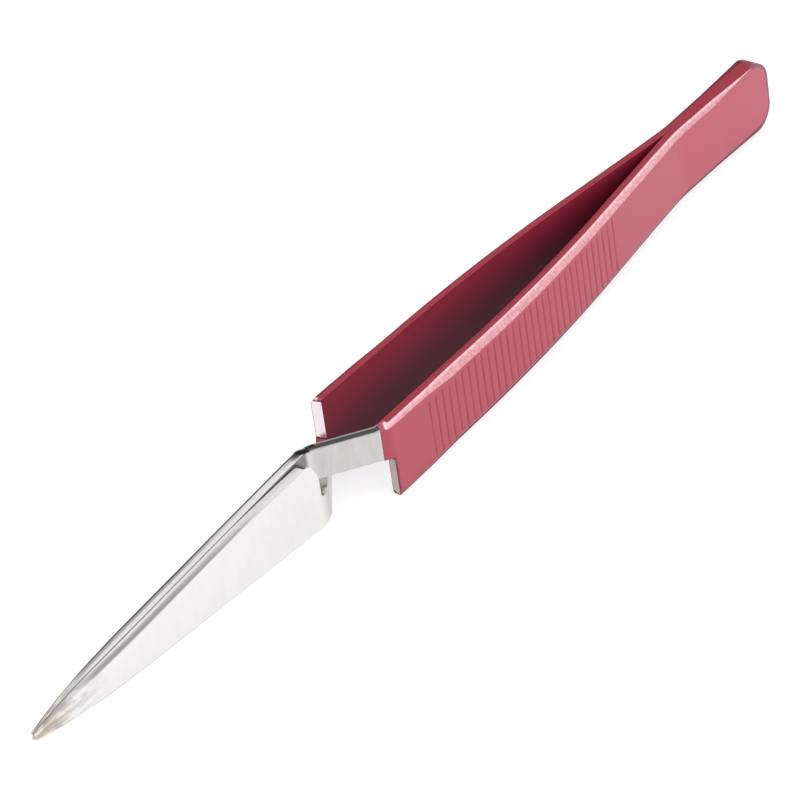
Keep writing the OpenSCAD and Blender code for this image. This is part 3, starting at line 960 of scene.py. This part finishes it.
near_red = satin_coat("near_satin_red", 11.0, 1.0)
far_red = satin_coat("far_satin_red", 12.0, -1.0)
print("Coat nodes:", len(near_red.node_tree.nodes))

# %% [markdown]
# The spot welds are hidden between the strips. They keep their construction shape and get the look of
# weld metal, grey with a fine grain.

# %% Weld metal
WELD_DARK, WELD_PALE, WELD_GRAIN = (0.34, 0.34, 0.36), (0.60, 0.60, 0.62), 3000.0
# The number of the Texture Coordinate node's output for places on the object itself
OBJECT_PLACE = 3


def weld_metal():
    material, desk, shader = new_material("weld_metal")
    place = desk.node("ShaderNodeTexCoord", {}, {}, OBJECT_PLACE)
    grain = desk.noise(place, WELD_GRAIN, 4.0)
    desk.feed(shader, {"Base Color": desk.colour(grain, WELD_DARK, WELD_PALE), "Metallic": 1.0,
                       "Roughness": 0.4 + 0.2 * grain})
    return material


welds = bpy.data.objects["tail_spot_welds"]
welds.material_slots[0].material = weld_metal()
print("Weld metal is on", welds.name)

# %% [markdown]
# The table is white paper. It is lit like everything else and so keeps the object's shadow, and it glows by
# as much as it lacks to white, for the camera and for reflections.

# %% Table
TABLE_GLOW, TABLE_SIZE = 0.66, 6
PAPER_DARK, PAPER_PALE, PAPER_FIBRES = (0.44, 0.44, 0.44), (0.46, 0.46, 0.46), 400.0
BLACK, WHITE = (0.0, 0.0, 0.0), (1.0, 1.0, 1.0)


def white_table():
    material, desk, shader = new_material("white_table")
    rays = desk.node("ShaderNodeLightPath", {}, {}).socket.node.outputs
    camera_ray, mirrored, through = [Wire(desk, rays["Is " + kind + " Ray"])
                                     for kind in ("Camera", "Glossy", "Transmission")]
    fibres = desk.noise(desk.node("ShaderNodeTexCoord", {}, {}, OBJECT_PLACE), PAPER_FIBRES, 3.0)
    desk.feed(shader, {
        "Base Color": desk.colour(fibres, PAPER_DARK, PAPER_PALE), "Roughness": 0.9,
        "Specular IOR Level": 0.0, "Emission Strength": TABLE_GLOW,
        "Emission Color": desk.colour(camera_ray + mirrored + through, BLACK, WHITE)})
    return material


bpy.ops.object.select_all(action="DESELECT")
bpy.ops.mesh.primitive_plane_add(size=TABLE_SIZE, location=(0, 0, 0))
floor = bpy.context.object
floor.name = "floor"
for thing, material in ((near_strip, near_steel), (far_strip, far_steel), (near_coat, near_red),
                        (far_coat, far_red), (floor, white_table())):
    thing.data.materials.clear()
    thing.data.materials.append(material)
    print(thing.name, "gets", material.name)

# %% [markdown]
# Polished steel shows its room. This one is light all round, but for a dark stretch behind the object, from
# just above the table to a third of the way up. It makes the upward edges dark, as in the photograph. Two
# soft lamps shape the object: a stronger one in front and a weaker one behind. They don't show in
# reflections, because a bright rectangle on steel would burn out.

# %% Room and lamps
SKY, FRONT_LIGHT, SHADE = 1.0, 0.9, 0.05
BACK = Vector((AHEAD.x, AHEAD.y, 0)).normalized()
# How steeply a direction looks up where the dark stretch starts and ends, and where it fades sideways
DARK_START, DARK_END, BEHIND = (0.08, 0.2), (0.50, 0.61), (-0.1, 0.3)
LAMP_SIZE = (1.2, 0.8)


def room():
    world = bpy.data.worlds.new("Room")
    world.use_nodes = True
    desk = Desk(world.node_tree)
    direction = desk.node("ShaderNodeTexCoord", {}, {})
    height = desk.axes(direction)[2]
    backwards = desk.vector("DOT_PRODUCT", direction, tuple(BACK), out=1)
    above = desk.ramp(height, *DARK_END)
    dark = desk.ramp(height, *DARK_START) * desk.ramp(backwards, *BEHIND) * (1 - above)
    light = FRONT_LIGHT + above * (SKY - FRONT_LIGHT) - dark * (FRONT_LIGHT - SHADE)
    desk.feed(world.node_tree.nodes["Background"],
              {"Color": desk.colour(light, BLACK, WHITE), "Strength": 1.0})
    return world


def soft_lamp(name, place, watts):
    """A lamp that looks at the object from its place."""
    lamp = bpy.data.lights.new(name, "AREA")
    lamp.shape = "RECTANGLE"
    lamp.size, lamp.size_y = LAMP_SIZE
    lamp.energy = watts
    holder = bpy.data.objects.new(name, lamp)
    bpy.context.scene.collection.objects.link(holder)
    holder.location = place
    holder.rotation_euler = (-Vector(place)).to_track_quat("-Z", "Y").to_euler()
    holder.visible_glossy = False
    print("Lamp", name, "stands", round(Vector(place).length, 2), "m away with", watts, "W")


bpy.context.scene.world = room()
soft_lamp("key", (0.20, -0.80, 0.50), 5.2)
soft_lamp("fill", (-0.20, 0.80, 0.50), 3.4)
bpy.context.scene.view_settings.view_transform = "Standard"
